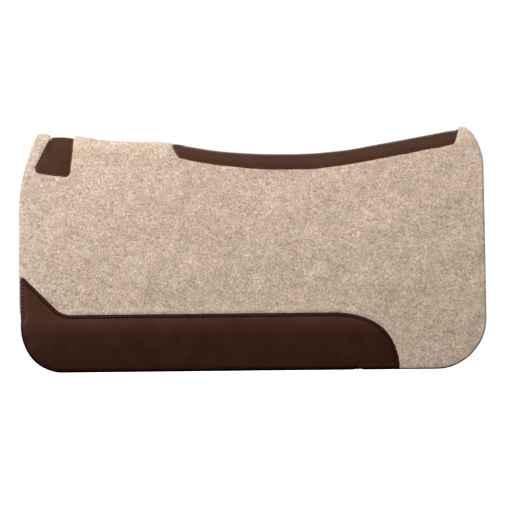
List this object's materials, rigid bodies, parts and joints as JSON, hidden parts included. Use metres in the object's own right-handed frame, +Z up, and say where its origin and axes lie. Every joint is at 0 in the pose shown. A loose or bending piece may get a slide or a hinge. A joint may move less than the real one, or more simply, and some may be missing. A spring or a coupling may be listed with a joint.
{
  "type": "western saddle pad",
  "caption": "Contoured western saddle pad of thick wool felt with leather spine strip, wither tab and wear leathers, folded over its spine.",
  "frame": {"origin": "on the ground, under the middle of the pad", "axes": "+Z up, +X from the withers to the rump, near (left) side at -Y"},
  "size_m": [0.787, 0.2974, 0.405],
  "materials": {
    "wool_felt": "pressed heathered oatmeal wool felt",
    "dark_leather": "smooth dark brown oiled leather with burnished edges",
    "thread": "waxed brown bonded thread"
  },
  "bodies": {
    "spine": {"spine_leather": "dark_leather", "wither_tab": "dark_leather", "spine_seam_thread": "thread", "wither_seam_thread": "thread", "near_spine_stitching": "thread", "off_spine_stitching": "thread", "near_tab_stitching": "thread", "off_tab_stitching": "thread"},
    "near_side": {"near_felt_panel": "wool_felt", "near_wear_leather": "dark_leather", "near_wear_top_stitching": "thread", "near_front_hem_stitching": "thread", "near_rear_hem_stitching": "thread", "near_inner_flap_stitching": "thread"},
    "off_side": {"off_felt_panel": "wool_felt", "off_wear_leather": "dark_leather", "off_wear_top_stitching": "thread", "off_front_hem_stitching": "thread", "off_rear_hem_stitching": "thread", "off_inner_flap_stitching": "thread"}
  },
  "joints": [
    {"name": "near_side_fold", "type": "hinge", "parent": "spine", "child": "near_side", "pos_m": [0, -0.019, 0.376], "axis": [-1, 0, 0], "range_deg": [-15, 35], "stiffness_Nm_per_rad": 20, "deforming": ["near_felt_panel", "spine_leather", "wither_tab", "spine_seam_thread", "wither_seam_thread", "near_spine_stitching", "near_tab_stitching"]},
    {"name": "off_side_fold", "type": "hinge", "parent": "spine", "child": "off_side", "pos_m": [0, 0.019, 0.376], "axis": [1, 0, 0], "range_deg": [-15, 35], "stiffness_Nm_per_rad": 20, "deforming": ["off_felt_panel", "off_spine_stitching", "off_tab_stitching"]}
  ]
}
